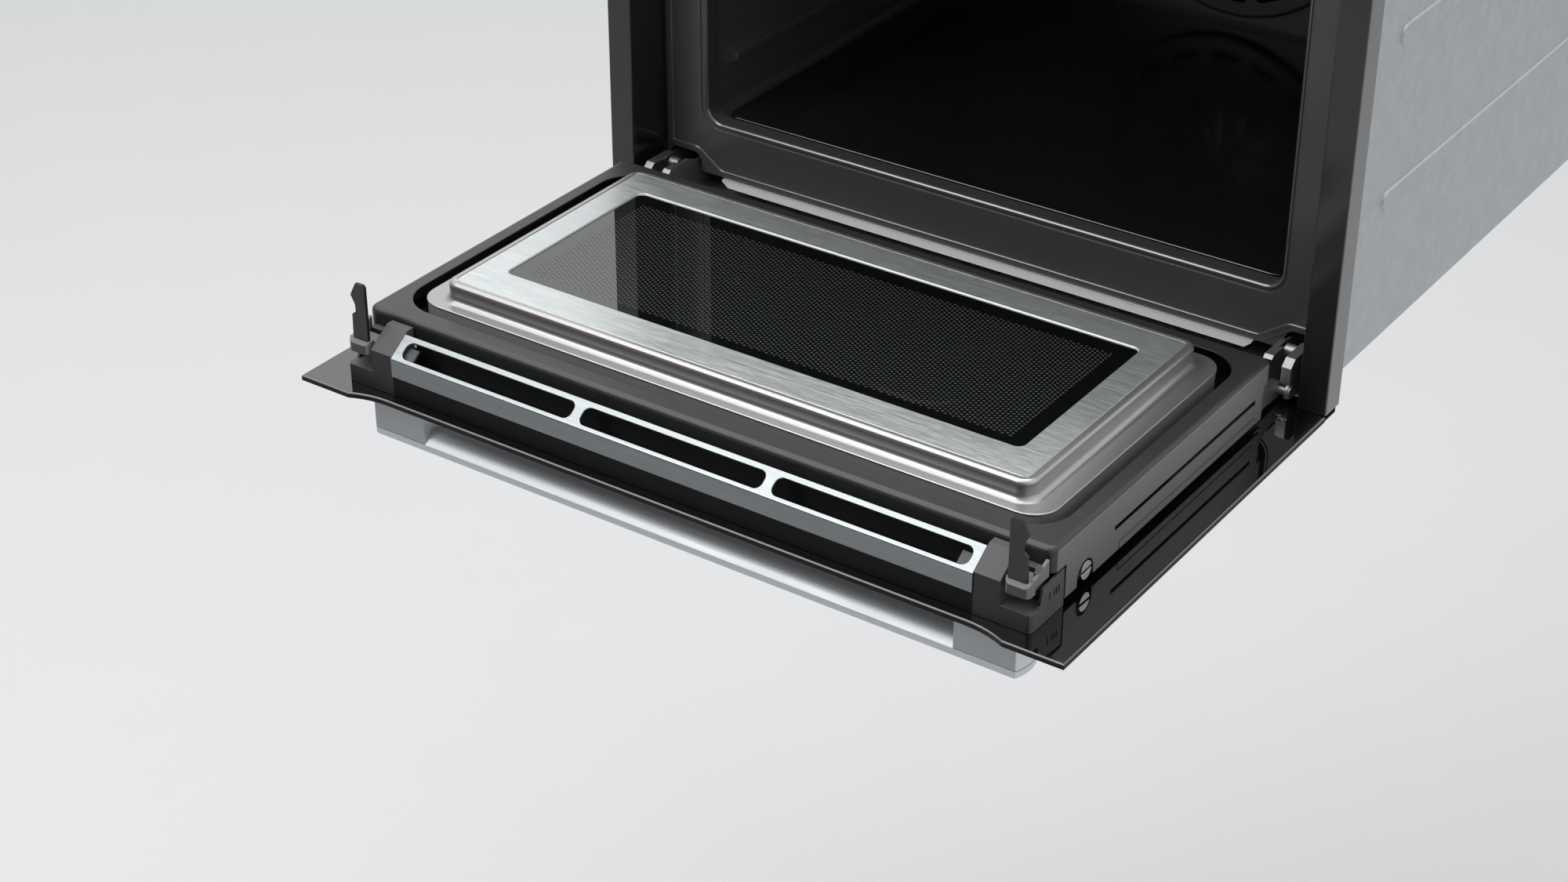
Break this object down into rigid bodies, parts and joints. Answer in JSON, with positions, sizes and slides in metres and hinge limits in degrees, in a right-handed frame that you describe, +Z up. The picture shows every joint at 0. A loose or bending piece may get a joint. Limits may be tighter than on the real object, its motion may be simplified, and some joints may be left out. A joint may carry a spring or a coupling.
{
  "type": "built-in microwave oven",
  "caption": "Built-in compact microwave oven with a drop-down door, latch hooks, bar handle, enamelled cavity, hot-air fan, grill and control fascia.",
  "frame": {"origin": "middle of the casing's width, on its underside, in the plane of the cabinet's front edge", "axes": "+X to the right, +Y into the cabinet, +Z up"},
  "size_m": [0.594, 0.895, 0.497],
  "materials": {
    "black_glass": "gloss black pane with a bright bevel",
    "window_glass": "tinted clear pane",
    "charcoal_steel": "satin charcoal paint on sheet steel",
    "black_enamel": "satin black enamel",
    "brushed_panel": "fine brushed stainless steel",
    "brushed_rail": "brushed bright rail",
    "dark_plastic": "fine-grained dark grey plastic",
    "black_plastic": "matte black plastic",
    "handle_silver": "satin silver",
    "zinc_steel": "bright zinc-plated steel",
    "dark_steel": "dark phosphated steel",
    "galvanised": "galvanised sheet steel",
    "silver_strip": "satin bright strip",
    "floor_ceramic": "black glass-ceramic",
    "heater_steel": "heat-tinted tube steel",
    "aluminium": "plain aluminium",
    "circuit_board": "green lacquered board",
    "lamp_glass": "clear ribbed lens"
  },
  "bodies": {
    "casing": {"front_frame": "black_enamel", "threshold_strip": "silver_strip", "trim_right": "charcoal_steel", "trim_left": "charcoal_steel", "fascia_glass": "black_glass", "fascia_carrier": "dark_plastic", "display_module": "black_plastic", "dial_hub": "black_glass", "control_board": "circuit_board", "base_plate": "galvanised", "side_panel_right": "galvanised", "side_panel_left": "galvanised", "top_cover": "galvanised", "rear_panel": "galvanised", "mains_inlet": "black_plastic", "casing_screws": "zinc_steel", "oven_cavity": "black_enamel", "floor_plate": "floor_ceramic", "fan_baffle": "black_enamel", "ring_heater": "heater_steel", "fan_motor": "zinc_steel", "grill_element": "heater_steel", "cavity_lamp": "lamp_glass", "stirrer_motor": "black_plastic", "waveguide": "galvanised", "magnetron": "aluminium", "inverter": "circuit_board", "blower_housing": "black_plastic", "interlock_right": "black_plastic", "interlock_left": "black_plastic", "hinge_arm_right": "zinc_steel", "hinge_arm_left": "zinc_steel", "hinge_pins": "zinc_steel", "hinge_rollers": "zinc_steel"},
    "door": {"door_glass": "black_glass", "door_frame": "charcoal_steel", "vent_rail": "brushed_rail", "air_duct": "black_plastic", "end_cap_right": "dark_plastic", "end_cap_left": "dark_plastic", "latch_pins": "zinc_steel", "inner_panel": "brushed_panel", "choke_ring": "dark_plastic", "window_glass": "window_glass", "mesh_screen": "black_enamel", "door_tray": "dark_steel", "door_screws": "zinc_steel", "handle_bar": "handle_silver", "handle_posts": "handle_silver", "handle_screws": "zinc_steel", "hinge_channel_right": "zinc_steel", "hinge_channel_left": "zinc_steel"},
    "latch_right": {"latch_lever_right": "dark_plastic", "latch_hook_right": "dark_steel"},
    "latch_left": {"latch_lever_left": "dark_plastic", "latch_hook_left": "dark_steel"},
    "fan_wheel": {"fan_wheel": "aluminium"},
    "stirrer": {"stirrer": "aluminium"},
    "blower_wheel": {"blower_wheel": "black_plastic"},
    "control_ring": {"control_ring": "handle_silver"}
  },
  "joints": [
    {"name": "door_hinge", "type": "hinge", "parent": "casing", "child": "door", "pos_m": [0, -0.0175, 0.0085], "axis": [-1, 0, 0], "range_deg": [0, 90]},
    {"name": "latch_right_pivot", "type": "hinge", "parent": "door", "child": "latch_right", "pos_m": [0.2546, -0.3518, 0.0288], "axis": [0, 1, 0], "range_deg": [-6, 4], "stiffness_Nm_per_rad": 0.6},
    {"name": "latch_left_pivot", "type": "hinge", "parent": "door", "child": "latch_left", "pos_m": [-0.2546, -0.3518, 0.0288], "axis": [0, -1, 0], "range_deg": [-6, 4], "stiffness_Nm_per_rad": 0.6},
    {"name": "fan_spin", "type": "hinge", "parent": "casing", "child": "fan_wheel", "pos_m": [0, 0.43, 0.178], "axis": [0, 1, 0], "continuous": true},
    {"name": "stirrer_spin", "type": "hinge", "parent": "casing", "child": "stirrer", "pos_m": [0, 0.21, 0.047], "axis": [0, 0, 1], "continuous": true},
    {"name": "blower_spin", "type": "hinge", "parent": "casing", "child": "blower_wheel", "pos_m": [-0.13, 0.33, 0.32], "axis": [0, 0, 1], "continuous": true},
    {"name": "control_ring_turn", "type": "hinge", "parent": "casing", "child": "control_ring", "pos_m": [0, -0.033, 0.407], "axis": [0, -1, 0], "continuous": true}
  ]
}
